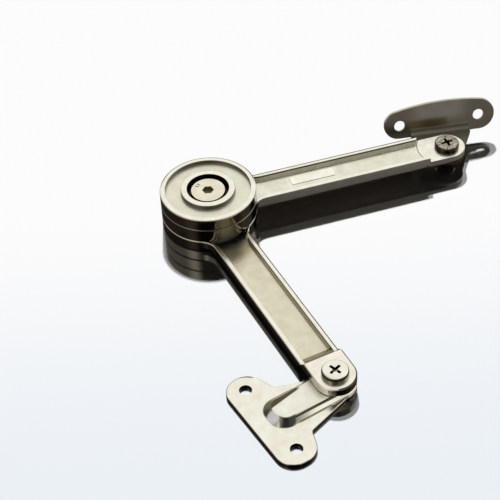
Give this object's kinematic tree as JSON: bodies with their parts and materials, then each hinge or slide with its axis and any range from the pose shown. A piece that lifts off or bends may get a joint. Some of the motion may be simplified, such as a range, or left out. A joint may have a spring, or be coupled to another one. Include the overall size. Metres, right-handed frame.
{
  "type": "friction lid stay",
  "caption": "Folding friction stay with a round hub, channelled arms, a tongued base bracket and a bent oval lid bracket, nickel plated.",
  "frame": {"origin": "midway between the base bracket's two screw holes, on the face that is screwed to the cabinet", "axes": "+Z away from the cabinet along the pivot axes, +X roughly from the hub to the lid bracket, +Y from the base bracket to the hub"},
  "size_m": [0.139, 0.1749, 0.0181],
  "materials": {
    "lower_arm": "satin nickel plate on die-cast zinc, brighter on the edges",
    "upper_arm": "satin nickel plate on die-cast zinc, brighter on the edges",
    "hub_cap": "satin nickel plate on top, polished side",
    "tension_screw": "satin nickel plate with fine turning marks",
    "base_bracket": "nickel-plated stamped steel",
    "lid_bracket": "nickel-plated stamped steel",
    "bright_screw": "bright nickel plate",
    "dark_screw": "polished nickel plate, seen darker",
    "shaft_steel": "turned steel",
    "inner_steel": "plain steel",
    "spring_steel": "hardened spring steel",
    "friction_fibre": "dark friction fibre",
    "bush_bronze": "sintered bronze"
  },
  "bodies": {
    "base": {"base_bracket": "base_bracket", "base_pivot_screw": "bright_screw", "base_pivot_washer": "inner_steel", "base_pivot_nut": "inner_steel"},
    "lower": {"lower_arm": "lower_arm", "pivot_shaft": "shaft_steel", "tension_screw": "tension_screw", "thrust_washer": "inner_steel", "disc_spring_1": "spring_steel", "disc_spring_2": "spring_steel", "disc_spring_3": "spring_steel", "disc_spring_4": "spring_steel", "pressure_disc": "inner_steel", "friction_disc_lower": "friction_fibre", "wear_disc": "inner_steel"},
    "upper": {"upper_arm": "upper_arm", "hub_cap": "hub_cap", "hub_bush": "bush_bronze", "friction_disc_upper": "friction_fibre"},
    "lid": {"lid_bracket": "lid_bracket", "lid_pivot_screw": "dark_screw", "lid_pivot_washer": "inner_steel", "lid_pivot_nut": "inner_steel"}
  },
  "joints": [
    {"name": "base_pivot", "type": "hinge", "parent": "base", "child": "lower", "pos_m": [0.02357, 0.01416, 0], "axis": [0, 0, 1], "range_deg": [-180, 12]},
    {"name": "hub_fold", "type": "hinge", "parent": "lower", "child": "upper", "pos_m": [-0.01932, 0.10615, 0], "axis": [0, 0, 1], "range_deg": [-52, 95]},
    {"name": "lid_pivot", "type": "hinge", "parent": "upper", "child": "lid", "pos_m": [0.07856, 0.13302, 0], "axis": [0, 0, 1], "range_deg": [-180, 18]}
  ]
}
